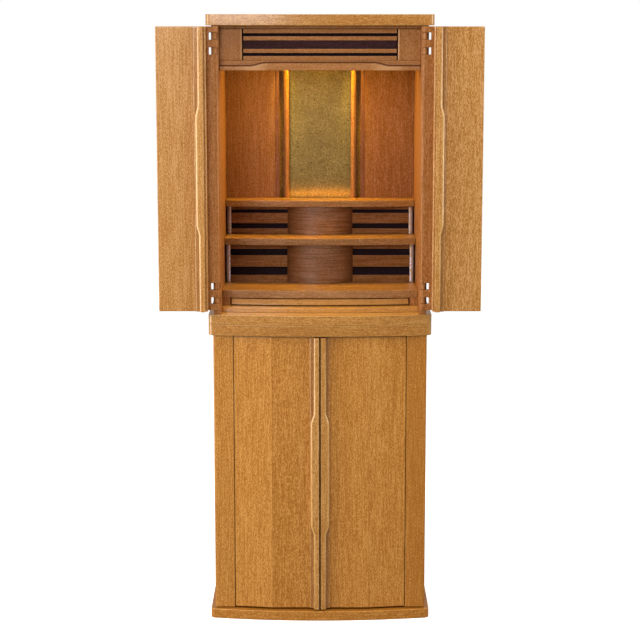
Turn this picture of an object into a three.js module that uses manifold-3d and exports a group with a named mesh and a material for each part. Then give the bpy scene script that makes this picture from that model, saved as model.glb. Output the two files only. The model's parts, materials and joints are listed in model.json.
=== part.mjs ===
// Household altar cabinet: an altar with bi-fold doors that stands on a stand with two doors.
// Millimetres, +Z up, the front faces -Y, and left is -X, as seen from the front.
// The origin is the middle of the base board's underside.

import * as THREE from 'three';
import { mergeVertices } from 'three/addons/utils/BufferGeometryUtils.js';
import Module from 'manifold-3d';

const wasm = await Module();
wasm.setup();

// Clearances
const SEAT = 0.3; // between pieces that are fastened together or rest on each other
const STAND_DOOR_GAP = 1.5; // between a stand door and its stile
const STAND_DOOR_TOP_GAP = 3;
const STAND_DOOR_BOTTOM_GAP = 5;
const MEETING_GAP = 2; // between the two free edges of closed doors
const LEAF_FRONT_GAP = 1.5; // between an inner leaf and the side panel's front edge
const LEAF_TOP_GAP = 2;
const LEAF_BOTTOM_GAP = 11.5;
const FOLD_GAP = 1; // between the two folded leaves of one door
const LEAF_END_GAP = 0.5; // between the two leaves of one door when it is closed
const SHELF_SIDE_GAP = 0.9; // between a shelf and a side panel
const RUNNING_GAP = 2.5; // over, under and beside the pull-out board
const FINGER_GAP = 0.6; // between a hinge finger and the leaf, up and down

// Boards at the top, the waist and the base, all of one outline
const BOARD_WIDTH = 500;
const BOARD_DEPTH = 370;
const BOARD_BOW = 23; // how far the middle of the front stands before its corners
const BOARD_CORNER = 12;
const BOARD_OVERHANG = 28; // of the front's middle, before the front plane of the side panels
const BACK_REVEAL = 2;
const BASE_THICK = 22;
const STAND_TOP_THICK = 25;
const ALTAR_BOTTOM_THICK = 22;
const TOP_THICK = 24;

// Stand
const STAND_REVEAL = 10; // of the boards beside the stand
const STAND_HEIGHT = 638; // between its two boards
const STAND_SIDE_THICK = 18;
const STAND_BACK_THICK = 9;
const STILE_WIDTH = 45;
const STILE_THICK = 20;
const STILE_CORNER = 4;
const STILE_BOTTOM_GAP = 3; // over the base board
const STAND_DOOR_THICK = 18;
const OUTER_PLANK_WIDTH = 84.5; // of the slanting plank next to the stile
const FACET_STEP = 13; // how far the flat plank stands before the stile

// Altar carcass
const ALTAR_REVEAL = 12;
const ALTAR_HEIGHT = 638;
const ALTAR_SIDE_THICK = 16.5;
const ALTAR_BACK_THICK = 9;

// Bi-fold doors of the altar
const LEAF_THICK = 16;
const HINGE_AXIS_INSET = 8.5; // from the altar's side face
const FOLD_REVEAL = 18.5; // of the inner leaf beside the folded outer leaf, from the hinge axis
const EDGE_COVER = 4; // of the outer leaf beyond the fold's axis
const HINGE_INSET = 37; // from the door's ends to the middle of a hinge
const FINGER_PITCH = 32;
const FINGER_HEIGHT = 14.3;
const FINGER_THICK = 9;
const NOTCH_DEPTH = 13; // of the leaf's notches, from the hinge axis

// Handles: a low strip over the door's height, under a ridge that widens to a grip
const HANDLE_STRIP_HEIGHT = 3;
const HANDLE_RIDGE_HEIGHT = 11;
const GRIP_LENGTH = 233;
const GRIP_CURVE = 28; // length of each curve at the grip's ends
const STAND_HANDLE = { strip: 21.5, narrow: [1, 13], grip: [1, 20] };
const ALTAR_HANDLE = { strip: 27, narrow: [5.6, 18.5], grip: [5.6, 24] };

// Lintel
const LINTEL_SETBACK = 15;
const LINTEL_TOP_GAP = 8;
const LINTEL_PLATE_WIDTH = 50;
const LINTEL_PLATE_THICK = 12;
const LINTEL_BACKING_THICK = 6;
const LINTEL_STRIP_GAP = 1; // between the top strip and the first slat
const LINTEL_SLAT_HEIGHT = 9;
const LINTEL_SLAT_SETBACK = 2; // behind the end plates' faces
const LINTEL_SLAT_END_GAP = 2.8;
const LINTEL_SLAT_SPACE = 6.7;
const DARK_SLAT_HEIGHT = 17.6;
const DARK_SLAT_SETBACK = 2; // behind the faces of the other slats
const RAIL_HEIGHT = 22;
const RAIL_THICK = 20;
const RAIL_RIDGE_HEIGHT = 8;
const RAIL_NARROW = 11.5;
const RAIL_GRIP = 18.5;
const RAIL_GRIP_LENGTH = 235;
const RAIL_GRIP_CURVE = 37;

// Back wall
const CAVITY_DEPTH = 27; // behind the gold panel
const GOLD_THICK = 4;
const GOLD_RECESS = 18; // behind the wall panels' faces
const GOLD_WIDTH = 146; // between the inner strips
const WALL_PANEL_THICK = 10;
const WALL_STILE_WIDTH = 9.3;
const WALL_GROOVE_WIDTH = 11;
const WALL_STRIP_WIDTH = 12;
const WALL_STRIP_SETBACK = 2;

// Shelves and their risers
const SHELF_BOW = 15;
const SHELF_CORNER = 1.5;
const UPPER_SHELF_THICK = 15;
const UPPER_SHELF_DEPTH = 70;
const LOWER_SHELF_THICK = 16;
const LOWER_SHELF_DEPTH = 130;
const RISER_INSET = 18; // behind the front corners of the shelf over it
const RISER_END_GAP = 3.8;
const RISER_STILE_WIDTH = 8.7;
const RISER_BACKING_THICK = 6;
const RISER_SLAT_DEPTH = 6;
const UPPER_RISER = { height: 66.5, top: 9, middle: 24.5, bottom: 12.5, upperSpace: 8 };
const LOWER_RISER = { height: 90, top: 12, middle: 27, bottom: 16.5, upperSpace: 15 };
const DRUM_WIDTH = 153;
const DRUM_BULGE = 27;
const DRUM_THICK = 8;

// Floor and pull-out board
const FLOOR_THICK = 17;
const FLOOR_SETBACK = 44;
const SILL_THICK = 10;
const SILL_SETBACK = 14;
const SLIDE_THICK = 13;
const SLIDE_CORNER = 2.5; // radius along its side edges
const SLIDE_SETBACK = 46;
const SLIDE_SIDE_INSET = 20.5; // from the side panels
const SLIDE_BACK_GAP = 30;

// Levels, from the floor up
const standTopZ = BASE_THICK + STAND_HEIGHT;
const altarBottomZ = standTopZ + STAND_TOP_THICK + SEAT;
const altarFloorZ = altarBottomZ + ALTAR_BOTTOM_THICK;
const altarTopZ = altarFloorZ + ALTAR_HEIGHT;

// Planes, from the front to the back
const boardBackY = BOARD_DEPTH / 2;
const frontY = BOARD_OVERHANG - BOARD_DEPTH / 2;
const bodyBackY = boardBackY - BACK_REVEAL;
const altarBackY = bodyBackY - ALTAR_BACK_THICK;
const goldY = altarBackY - CAVITY_DEPTH - GOLD_THICK;
const wallY = goldY - GOLD_RECESS;

// Half widths
const standHalf = BOARD_WIDTH / 2 - STAND_REVEAL;
const altarHalf = BOARD_WIDTH / 2 - ALTAR_REVEAL;
const innerHalf = altarHalf - ALTAR_SIDE_THICK;

const SIDES = [
  ['left', -1],
  ['right', 1],
];
const ARC_STEPS = 14;
const CURVE_STEPS = 8;
const CORNER_STEPS = 4;

const group = new THREE.Group();

// Finishes
function finish(colour, roughness, metalness = 0) {
  return new THREE.MeshStandardMaterial({ color: colour, roughness, metalness });
}

function lightWood() {
  return finish(0xb98345, 0.5);
}

function walnut() {
  return finish(0x7a4b2e, 0.5);
}

function darkWood() {
  return finish(0x3d2224, 0.6);
}

function brownWood() {
  return finish(0x6b5038, 0.55);
}

function goldLeaf() {
  return finish(0x94713c, 0.45, 0.6);
}

// Adds one named piece, its geometry in place but for its height.
function add(name, geometry, material, z = 0) {
  const mesh = new THREE.Mesh(geometry, material);
  mesh.name = name;
  mesh.position.z = z;
  group.add(mesh);
}

// Adds a square-edged piece between two limits along each axis.
function addBlock(name, material, xs, ys, zs) {
  const size = [xs, ys, zs].map(([a, b]) => Math.abs(b - a));
  const mesh = new THREE.Mesh(new THREE.BoxGeometry(...size), material);
  mesh.name = name;
  mesh.position.set(...[xs, ys, zs].map(([a, b]) => (a + b) / 2));
  group.add(mesh);
}

// A prism on an outline in plan, standing on z = 0.
function upright(outline, height) {
  const shape = new THREE.Shape(outline.map(([x, y]) => new THREE.Vector2(x, y)));
  return new THREE.ExtrudeGeometry(shape, { depth: height, bevelEnabled: false });
}

// A prism on an outline in front view, from y forward to the viewer.
function forward(outline, y, depth) {
  return upright(outline, depth).rotateX(Math.PI / 2).translate(0, y, 0);
}

function mirrored(outline, side) {
  return outline.map(([x, y]) => [side * x, y]);
}

function arc(centreX, centreY, radius, from, to, steps = ARC_STEPS) {
  return Array.from({ length: steps + 1 }, (_, i) => {
    const angle = from + ((to - from) * i) / steps;
    return [centreX + radius * Math.cos(angle), centreY + radius * Math.sin(angle)];
  });
}

// Turns a closed geometry into a solid that can be joined and cut.
function toSolid(geometry) {
  const bare = geometry.clone();
  bare.deleteAttribute('normal');
  bare.deleteAttribute('uv');
  const merged = mergeVertices(bare);
  const vertProperties = new Float32Array(merged.attributes.position.array);
  const triVerts = new Uint32Array(merged.index.array);
  return new wasm.Manifold(new wasm.Mesh({ numProp: 3, vertProperties, triVerts }));
}

function toGeometry(solid) {
  const { vertProperties, triVerts } = solid.getMesh();
  const geometry = new THREE.BufferGeometry();
  geometry.setAttribute('position', new THREE.BufferAttribute(vertProperties, 3));
  geometry.setIndex(new THREE.BufferAttribute(triVerts, 1));
  geometry.computeVertexNormals();
  return geometry;
}

// A board in plan whose front is one shallow arc between two rounded corners.
function bowedOutline(half, cornerY, backY, bow, corner) {
  const radius = (half * half + bow * bow) / (2 * bow);
  const centreY = cornerY - bow + radius;
  const filletX = half - corner;
  const filletY = centreY - Math.sqrt((radius - corner) ** 2 - filletX ** 2);
  const turn = Math.atan2(filletX, centreY - filletY);
  const down = -Math.PI / 2;
  return [
    [-half, backY],
    ...arc(-filletX, filletY, corner, -Math.PI, down - turn, CURVE_STEPS),
    ...arc(0, centreY, radius, down - turn, down + turn).slice(1, -1),
    ...arc(filletX, filletY, corner, down + turn, 0, CURVE_STEPS),
    [half, backY],
  ];
}

function boardOutline() {
  const cornerY = frontY - BOARD_OVERHANG + BOARD_BOW;
  return bowedOutline(BOARD_WIDTH / 2, cornerY, boardBackY, BOARD_BOW, BOARD_CORNER);
}

// One edge of a ridge, as [across, along] points, that swings from narrow to grip and back.
function ridgeEdge(length, narrow, grip, gripLength, curve) {
  const swing = Array.from({ length: CURVE_STEPS + 1 }, (_, i) => {
    const share = i / CURVE_STEPS;
    const eased = share * share * (3 - 2 * share);
    return [narrow + (grip - narrow) * eased, (length - gripLength) / 2 - curve * (1 - share)];
  });
  const back = swing.map(([across, along]) => [across, length - along]).reverse();
  return [[narrow, 0], ...swing, ...back, [narrow, length]];
}

// A handle in front view, from its free edge outwards and from its lower end up.
function ridgeOutline(length, { narrow, grip }) {
  const near = ridgeEdge(length, narrow[0], grip[0], GRIP_LENGTH, GRIP_CURVE);
  const far = ridgeEdge(length, narrow[1], grip[1], GRIP_LENGTH, GRIP_CURVE);
  return [...near, ...far.reverse()].filter(([x, y], i, all) => {
    const [lastX, lastY] = all[(i + all.length - 1) % all.length];
    return Math.hypot(x - lastX, y - lastY) > SEAT;
  });
}

function addHandle(name, side, freeX, faceY, bottomZ, length, handle) {
  const shift = ([across, along]) => [side * (freeX + across), along];
  const strip = [[0, 0], [handle.strip, 0], [handle.strip, length], [0, length]].map(shift);
  const ridge = ridgeOutline(length, handle).map(shift);
  const height = HANDLE_STRIP_HEIGHT + HANDLE_RIDGE_HEIGHT;
  const low = toSolid(forward(strip, faceY - SEAT, HANDLE_STRIP_HEIGHT));
  const high = toSolid(forward(ridge, faceY - SEAT, height));
  add(name, toGeometry(low.add(high)), lightWood(), bottomZ);
}

// Stand
function addStand() {
  const bottomZ = BASE_THICK + SEAT;
  const topZ = standTopZ - SEAT;
  const sideInner = standHalf - STAND_SIDE_THICK;
  add('base_board', upright(boardOutline(), BASE_THICK), lightWood());
  add('stand_top_board', upright(boardOutline(), STAND_TOP_THICK), lightWood(), standTopZ);
  const stileInner = standHalf - STILE_WIDTH;
  const stileBottomZ = BASE_THICK + STILE_BOTTOM_GAP;
  const stile = [
    [stileInner, frontY],
    ...arc(standHalf - STILE_CORNER, frontY + STILE_CORNER, STILE_CORNER, -Math.PI / 2, 0, CURVE_STEPS),
    [standHalf, frontY + STILE_THICK],
    [stileInner, frontY + STILE_THICK],
  ];
  for (const [label, side] of SIDES) {
    const stileBar = upright(mirrored(stile, side), topZ - stileBottomZ);
    add(`stand_stile_${label}`, stileBar, lightWood(), stileBottomZ);
    const widths = [side * sideInner, side * standHalf];
    const depth = [frontY + STILE_THICK + SEAT, bodyBackY];
    addBlock(`stand_side_${label}`, lightWood(), widths, depth, [bottomZ, topZ]);
  }
  const backHalf = sideInner - SEAT;
  const backDepth = [bodyBackY - STAND_BACK_THICK, bodyBackY];
  addBlock('stand_back', lightWood(), [-backHalf, backHalf], backDepth, [bottomZ, topZ]);
}

function addStandDoors() {
  const hingeX = standHalf - STILE_WIDTH - STAND_DOOR_GAP;
  const jointX = hingeX - OUTER_PLANK_WIDTH;
  const freeX = MEETING_GAP / 2;
  const faceY = frontY - FACET_STEP;
  const slant = Math.atan2(FACET_STEP, OUTER_PLANK_WIDTH);
  const outline = [
    [freeX, faceY],
    [jointX, faceY],
    [hingeX, frontY],
    [hingeX, frontY + STAND_DOOR_THICK / Math.cos(slant)],
    [jointX - STAND_DOOR_THICK * Math.tan(slant / 2), faceY + STAND_DOOR_THICK],
    [freeX, faceY + STAND_DOOR_THICK],
  ];
  const bottomZ = BASE_THICK + STAND_DOOR_BOTTOM_GAP;
  const height = standTopZ - STAND_DOOR_TOP_GAP - bottomZ;
  for (const [label, side] of SIDES) {
    add(`stand_door_${label}`, upright(mirrored(outline, side), height), lightWood(), bottomZ);
    addHandle(`stand_handle_${label}`, side, freeX, faceY, bottomZ, height, STAND_HANDLE);
  }
}

// Bi-fold doors, folded open: the inner leaf lies back to back with the outer leaf before it
const leafBottomZ = altarFloorZ + LEAF_BOTTOM_GAP;
const leafHeight = altarTopZ - LEAF_TOP_GAP - leafBottomZ;
const hingeX = altarHalf - HINGE_AXIS_INSET;
const hingeY = frontY - LEAF_FRONT_GAP - LEAF_THICK / 2;
const foldReach = (hingeX - MEETING_GAP / 2 + FOLD_REVEAL) / 2; // from the hinge axis to the fold's axis
const foldY = hingeY - LEAF_THICK / 2 - FOLD_GAP / 2;

// Heights of the middles of the hinge fingers, from the leaf's lower end.
function fingerHeights() {
  const hinges = [HINGE_INSET, leafHeight - HINGE_INSET];
  return hinges.flatMap((middle) => [middle - FINGER_PITCH / 2, middle + FINGER_PITCH / 2]);
}

// The tongues that stand out of the side panel's front edge to the hinge axis.
function fingerOutline() {
  const half = FINGER_THICK / 2;
  const rootY = frontY + half;
  return [
    [hingeX + half, rootY],
    [hingeX - half, rootY],
    ...arc(hingeX, hingeY, half, -Math.PI, 0, CURVE_STEPS),
  ];
}

function addAltarSide(name, side) {
  const bottomZ = altarFloorZ + SEAT;
  const height = altarTopZ - SEAT - bottomZ;
  const panel = [
    [innerHalf, frontY],
    [altarHalf, frontY],
    [altarHalf, bodyBackY],
    [innerHalf, bodyBackY],
  ];
  let solid = toSolid(upright(mirrored(panel, side), height));
  const finger = upright(mirrored(fingerOutline(), side), FINGER_HEIGHT);
  for (const middle of fingerHeights()) {
    const z = leafBottomZ + middle - FINGER_HEIGHT / 2 - bottomZ;
    solid = solid.add(toSolid(finger.clone().translate(0, 0, z)));
  }
  add(name, toGeometry(solid), lightWood(), bottomZ);
}

function addInnerLeaf(name, side) {
  const half = LEAF_THICK / 2;
  const endX = hingeX + foldReach - EDGE_COVER - LEAF_END_GAP;
  const outline = [
    [endX, hingeY - half],
    [endX, hingeY + half],
    ...arc(hingeX, hingeY, half, Math.PI / 2, 1.5 * Math.PI),
  ];
  const cutStart = hingeX - LEAF_THICK;
  const notch = [
    [cutStart, hingeY - LEAF_THICK],
    [hingeX + NOTCH_DEPTH, hingeY - LEAF_THICK],
    [hingeX + NOTCH_DEPTH, hingeY + LEAF_THICK],
    [cutStart, hingeY + LEAF_THICK],
  ];
  const notchHeight = FINGER_HEIGHT + 2 * FINGER_GAP;
  let solid = toSolid(upright(mirrored(outline, side), leafHeight));
  const cut = upright(mirrored(notch, side), notchHeight);
  for (const middle of fingerHeights()) {
    solid = solid.subtract(toSolid(cut.clone().translate(0, 0, middle - notchHeight / 2)));
  }
  add(name, toGeometry(solid), lightWood(), leafBottomZ);
}

function addOuterLeaf(label, side) {
  const freeX = hingeX + FOLD_REVEAL;
  const coverX = hingeX + foldReach + EDGE_COVER;
  const backY = foldY - FOLD_GAP / 2;
  const faceY = backY - LEAF_THICK;
  const heights = [leafBottomZ, leafBottomZ + leafHeight];
  addBlock(`outer_leaf_${label}`, lightWood(), [side * freeX, side * coverX], [faceY, backY], heights);
  addHandle(`altar_handle_${label}`, side, freeX, faceY, leafBottomZ, leafHeight, ALTAR_HANDLE);
}

// Altar carcass
function addAltar() {
  add('altar_bottom_board', upright(boardOutline(), ALTAR_BOTTOM_THICK), lightWood(), altarBottomZ);
  add('altar_top_board', upright(boardOutline(), TOP_THICK), lightWood(), altarTopZ);
  const backHalf = innerHalf - SEAT;
  const heights = [altarFloorZ + SEAT, altarTopZ - SEAT];
  addBlock('altar_back', lightWood(), [-backHalf, backHalf], [altarBackY, bodyBackY], heights);
  for (const [label, side] of SIDES) {
    addAltarSide(`altar_side_${label}`, side);
    addInnerLeaf(`inner_leaf_${label}`, side);
    addOuterLeaf(label, side);
  }
}

// Lintel, from its top strip down to the shaped rail
const lintelY = frontY + LINTEL_SETBACK;
const lintelTopZ = altarTopZ - LINTEL_TOP_GAP;
const lintelHalf = innerHalf - SEAT;

function addLintel() {
  const plateInner = lintelHalf - LINTEL_PLATE_WIDTH;
  const slatHalf = plateInner - LINTEL_SLAT_END_GAP;
  const slatY = lintelY + LINTEL_SLAT_SETBACK;
  const backY = lintelY + LINTEL_PLATE_THICK;
  const widths = [-lintelHalf, lintelHalf];
  const stripHeights = [lintelTopZ + LINTEL_STRIP_GAP, altarTopZ - SEAT];
  addBlock('lintel_top_strip', lightWood(), widths, [lintelY, backY], stripHeights);
  let z = lintelTopZ;
  function addSlat(name, material, height, faceY = slatY) {
    addBlock(name, material, [-slatHalf, slatHalf], [faceY, backY], [z - height, z]);
    z -= height;
  }
  addSlat('lintel_slat_1', lightWood(), LINTEL_SLAT_HEIGHT);
  z -= LINTEL_SLAT_SPACE;
  addSlat('lintel_slat_2', lightWood(), LINTEL_SLAT_HEIGHT);
  z -= SEAT;
  addSlat('lintel_dark_slat', darkWood(), DARK_SLAT_HEIGHT, slatY + DARK_SLAT_SETBACK);
  z -= SEAT;
  addSlat('lintel_slat_3', lightWood(), LINTEL_SLAT_HEIGHT);
  z -= LINTEL_SLAT_SPACE;
  addSlat('lintel_slat_4', lightWood(), LINTEL_SLAT_HEIGHT);
  for (const [label, side] of SIDES) {
    const xs = [side * plateInner, side * lintelHalf];
    addBlock(`lintel_plate_${label}`, lightWood(), xs, [lintelY, backY], [z, lintelTopZ]);
  }
  const backingDepth = [backY + SEAT, backY + SEAT + LINTEL_BACKING_THICK];
  addBlock('lintel_backing', darkWood(), widths, backingDepth, [z, altarTopZ - SEAT]);
  addRail(z - SEAT);
}

function addRail(topZ) {
  const bottomZ = topZ - RAIL_HEIGHT;
  const strip = [
    [-lintelHalf, 0],
    [lintelHalf, 0],
    [lintelHalf, RAIL_HEIGHT],
    [-lintelHalf, RAIL_HEIGHT],
  ];
  const swing = ridgeEdge(2 * lintelHalf, RAIL_NARROW, RAIL_GRIP, RAIL_GRIP_LENGTH, RAIL_GRIP_CURVE);
  const swingEdge = swing.map(([across, along]) => [along - lintelHalf, across]);
  const ridge = [[-lintelHalf, 0], ...swingEdge, [lintelHalf, 0]];
  const low = toSolid(forward(strip, lintelY + RAIL_THICK, RAIL_THICK));
  const high = toSolid(forward(ridge, lintelY + RAIL_THICK, RAIL_THICK + RAIL_RIDGE_HEIGHT));
  add('lintel_rail', toGeometry(low.add(high)), lightWood(), bottomZ);
}

// Floor, sill and pull-out board
const sillTopZ = altarFloorZ + SEAT + SILL_THICK;
const slideBottomZ = sillTopZ + RUNNING_GAP;
const slideTopZ = slideBottomZ + SLIDE_THICK;
const floorBottomZ = slideTopZ + RUNNING_GAP;
const floorTopZ = floorBottomZ + FLOOR_THICK;

function shelfOutline(half, faceY, backY) {
  return bowedOutline(half, faceY + SHELF_BOW, backY, SHELF_BOW, SHELF_CORNER);
}

function addFloor() {
  const half = innerHalf - SEAT;
  const backY = altarBackY - SEAT;
  const floor = shelfOutline(half, frontY + FLOOR_SETBACK, backY);
  const sill = shelfOutline(half, frontY + SILL_SETBACK, backY);
  add('altar_floor', upright(floor, FLOOR_THICK), lightWood(), floorBottomZ);
  add('sill_board', upright(sill, SILL_THICK), lightWood(), altarFloorZ + SEAT);
  const slideHalf = innerHalf - SLIDE_SIDE_INSET;
  for (const [label, side] of SIDES) {
    const xs = [side * (slideHalf + RUNNING_GAP), side * half];
    const ys = [frontY + SLIDE_SETBACK + SHELF_BOW, backY];
    addBlock(`guide_block_${label}`, lightWood(), xs, ys, [sillTopZ + SEAT, floorBottomZ - SEAT]);
  }
  addSlide(slideHalf);
}

// The pull-out board: bowed in plan, with rounded side edges.
function addSlide(half) {
  const faceY = frontY + SLIDE_SETBACK;
  const backY = altarBackY - SLIDE_BACK_GAP;
  const right = half - SLIDE_CORNER;
  const top = SLIDE_THICK - SLIDE_CORNER;
  const corners = [
    [right, SLIDE_CORNER],
    [right, top],
    [-right, top],
    [-right, SLIDE_CORNER],
  ];
  const quarter = Math.PI / 2;
  const section = corners.flatMap(([x, z], i) => {
    return arc(x, z, SLIDE_CORNER, (i - 1) * quarter, i * quarter, CORNER_STEPS);
  });
  const plan = toSolid(upright(shelfOutline(half, faceY, backY), SLIDE_THICK));
  const bar = toSolid(forward(section, backY + SLIDE_CORNER, backY - faceY + 2 * SLIDE_CORNER));
  add('pull_out_board', toGeometry(plan.intersect(bar)), lightWood(), slideBottomZ);
}

// Shelves on slatted risers, each riser with a curved panel before its middle
const shelfHalf = innerHalf - SHELF_SIDE_GAP;

function addRiser(name, faceY, bottomZ, riser) {
  const topZ = bottomZ + riser.height;
  const half = innerHalf - RISER_END_GAP;
  const slatHalf = half - RISER_STILE_WIDTH - SEAT;
  const slatDepth = [faceY, faceY + RISER_SLAT_DEPTH];
  const backingY = faceY + RISER_SLAT_DEPTH + SEAT;
  const heights = [bottomZ + SEAT, topZ - SEAT];
  const backingDepth = [backingY, backingY + RISER_BACKING_THICK];
  addBlock(`${name}_riser_backing`, darkWood(), [-half, half], backingDepth, heights);
  const middleTopZ = topZ - riser.top - riser.upperSpace;
  const slats = [
    ['top', topZ - riser.top, topZ - SEAT],
    ['middle', middleTopZ - riser.middle, middleTopZ],
    ['bottom', bottomZ + SEAT, bottomZ + riser.bottom],
  ];
  for (const [label, low, high] of slats) {
    addBlock(`${name}_riser_slat_${label}`, lightWood(), [-slatHalf, slatHalf], slatDepth, [low, high]);
  }
  for (const [label, side] of SIDES) {
    const xs = [side * (half - RISER_STILE_WIDTH), side * half];
    addBlock(`${name}_riser_stile_${label}`, lightWood(), xs, slatDepth, heights);
  }
  add(`${name}_drum`, drum(faceY - SEAT, riser.height - 2 * SEAT), walnut(), bottomZ + SEAT);
}

// A curved panel whose two ends meet the plane at backY.
function drum(backY, height) {
  const half = DRUM_WIDTH / 2;
  const radius = (half * half + DRUM_BULGE * DRUM_BULGE) / (2 * DRUM_BULGE);
  const centreY = backY - DRUM_BULGE + radius;
  const inner = radius - DRUM_THICK;
  const turn = Math.acos((centreY - backY) / radius);
  const innerTurn = Math.acos((centreY - backY) / inner);
  const down = -Math.PI / 2;
  const outline = [
    ...arc(0, centreY, radius, down - turn, down + turn),
    ...arc(0, centreY, inner, down + innerTurn, down - innerTurn),
  ];
  return upright(outline, height);
}

function addShelves() {
  const backY = wallY - SEAT;
  const lowerY = wallY - LOWER_SHELF_DEPTH;
  const upperY = wallY - UPPER_SHELF_DEPTH;
  const lowerZ = floorTopZ + LOWER_RISER.height;
  const lowerTopZ = lowerZ + LOWER_SHELF_THICK;
  const upperZ = lowerTopZ + UPPER_RISER.height;
  addRiser('lower', lowerY + SHELF_BOW + RISER_INSET, floorTopZ, LOWER_RISER);
  const lowerOutline = shelfOutline(shelfHalf, lowerY, backY);
  add('lower_shelf', upright(lowerOutline, LOWER_SHELF_THICK), lightWood(), lowerZ);
  addRiser('upper', upperY + SHELF_BOW + RISER_INSET, lowerTopZ, UPPER_RISER);
  const upperOutline = shelfOutline(shelfHalf, upperY, backY);
  add('upper_shelf', upright(upperOutline, UPPER_SHELF_THICK), lightWood(), upperZ);
}

// Back wall: from each side a wooden panel, a brown stile, a groove and a strip beside the gold panel
function addBackWall() {
  const heights = [floorTopZ + SEAT, altarTopZ - SEAT];
  const panelBackY = wallY + WALL_PANEL_THICK;
  const goldHalf = GOLD_WIDTH / 2;
  const stripOuter = goldHalf + WALL_STRIP_WIDTH;
  const stileInner = stripOuter + WALL_GROOVE_WIDTH;
  const stileOuter = stileInner + WALL_STILE_WIDTH;
  for (const [label, side] of SIDES) {
    const panelXs = [side * (stileOuter + SEAT), side * (innerHalf - SEAT)];
    addBlock(`wall_panel_${label}`, lightWood(), panelXs, [wallY, panelBackY], heights);
    const stileXs = [side * stileInner, side * stileOuter];
    addBlock(`wall_stile_${label}`, brownWood(), stileXs, [wallY, goldY], heights);
    const stripXs = [side * goldHalf, side * stripOuter];
    const stripDepth = [wallY + WALL_STRIP_SETBACK, goldY - SEAT];
    addBlock(`wall_strip_${label}`, lightWood(), stripXs, stripDepth, heights);
  }
  addBlock('gold_panel', goldLeaf(), [-stripOuter, stripOuter], [goldY, goldY + GOLD_THICK], heights);
}

addStand();
addStandDoors();
addAltar();
addLintel();
addFloor();
addShelves();
addBackWall();

export default group;
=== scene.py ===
# Looks of the household altar cabinet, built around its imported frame.
# Metres, +Z up, the front faces -Y, and left is -X, as seen from the front.

import json
import math
from dataclasses import dataclass

import bmesh
import bpy
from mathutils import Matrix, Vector


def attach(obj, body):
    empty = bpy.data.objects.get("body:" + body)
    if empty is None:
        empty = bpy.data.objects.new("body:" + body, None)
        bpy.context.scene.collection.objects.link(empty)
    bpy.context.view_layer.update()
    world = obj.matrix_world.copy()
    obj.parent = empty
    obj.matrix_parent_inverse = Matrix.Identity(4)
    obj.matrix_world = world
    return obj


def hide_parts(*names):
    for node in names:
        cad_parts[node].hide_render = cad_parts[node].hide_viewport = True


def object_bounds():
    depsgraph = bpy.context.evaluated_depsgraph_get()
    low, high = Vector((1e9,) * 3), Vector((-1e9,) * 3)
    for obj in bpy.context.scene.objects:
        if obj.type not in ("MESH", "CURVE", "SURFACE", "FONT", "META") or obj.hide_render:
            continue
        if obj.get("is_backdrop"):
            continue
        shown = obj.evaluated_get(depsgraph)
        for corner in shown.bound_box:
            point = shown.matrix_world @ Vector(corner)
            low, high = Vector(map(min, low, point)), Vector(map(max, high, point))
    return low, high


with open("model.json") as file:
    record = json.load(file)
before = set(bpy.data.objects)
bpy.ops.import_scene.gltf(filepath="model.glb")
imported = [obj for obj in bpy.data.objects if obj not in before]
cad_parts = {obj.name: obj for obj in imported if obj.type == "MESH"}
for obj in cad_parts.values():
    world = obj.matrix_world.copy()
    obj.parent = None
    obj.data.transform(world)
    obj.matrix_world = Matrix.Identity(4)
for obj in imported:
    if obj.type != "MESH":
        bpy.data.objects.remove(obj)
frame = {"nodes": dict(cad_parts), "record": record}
cad_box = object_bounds()

MM = 0.001
SIDES = ("left", "right")

# Camera, placed so that the cabinet's outline lies where the photograph has it
CAMERA_PLACE = (0.0, -4.157, 1.370)
CAMERA_PITCH = 9.595  # degrees down
CAMERA_LENS = 101.87
CAMERA_SENSOR = 36.0

# Light: the studio's white walls, and small warm lamps inside the altar
AMBIENT = 0.35
GLOW_COLOUR = (1.0, 0.72, 0.02)
GOLD_GLOW_COLOUR = (1.0, 0.60, 0.12)
SIDE_GLOW_COLOUR = (1.0, 0.80, 0.4)
STRIP_GLOW_COLOUR = (1.0, 0.84, 0.05)
FOOT_GLOW_COLOUR = (1.0, 0.42, 0.01)
GLOW_Z = 1.335  # of the lamps behind the lintel
GLOW_Y = 0.09  # of the lamps over the shelves
GLOW_STRIP_X = 0.079  # over the strips beside the gold panel
WHITE = (1.0, 1.0, 1.0)
FLOOR_RADIUS = 9.0
FLOOR_DROP = 0.2 * MM  # of the floor under the cabinet's foot
FLOOR_GREY = (0.8, 0.8, 0.8)
FLOOR_GLOW = 0.75

# Rebuilding the flat faces of a CAD node
WELD = 1e-5
FLAT_ANGLE = math.radians(0.4)
SHARP_ANGLE = math.radians(35)
BEND_ANGLE = 0.02  # radians, the least bend of a stand door's planks
FACING = 0.7  # how much of a face's normal points a way that the face is said to face

# Details of the doors, their handles and the lintel
STRIP_HEIGHT = 3 * MM  # of a handle's low strip
STRIP_PAINTED_SHADE = 0.30  # painted shade on a handle's strip beside its ridge
STRIP_FREE_RADIUS = 2.2 * MM  # along the strip's edge nearest to the gap between the doors
STRIP_FAR_RADIUS = 1.4 * MM  # along the strip's other edge
STRIP_FOOT_RADIUS = 0.4 * MM
STRIP_GROOVE = (3.8 * MM, 5.2 * MM)  # of an altar handle, from the strip's free edge
STRIP_GROOVE_DEPTH = 0.6 * MM
GROOVE_END = 4 * MM  # how far a groove stops before the ends of its door
PLANK_JOINT = 0.109  # from the cabinet's middle to the joint of a stand door's planks
BEAD_HALF = 2.4 * MM  # half the width of the bead on that joint
BEAD_HEIGHT = 0.9 * MM
BEAD_REACH = 0.5 * MM  # how near a point lies to the joint's line to be on the bead's crest
PLATE_ROUND = 3.6 * MM  # radius along the inner side of a lintel plate
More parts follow.
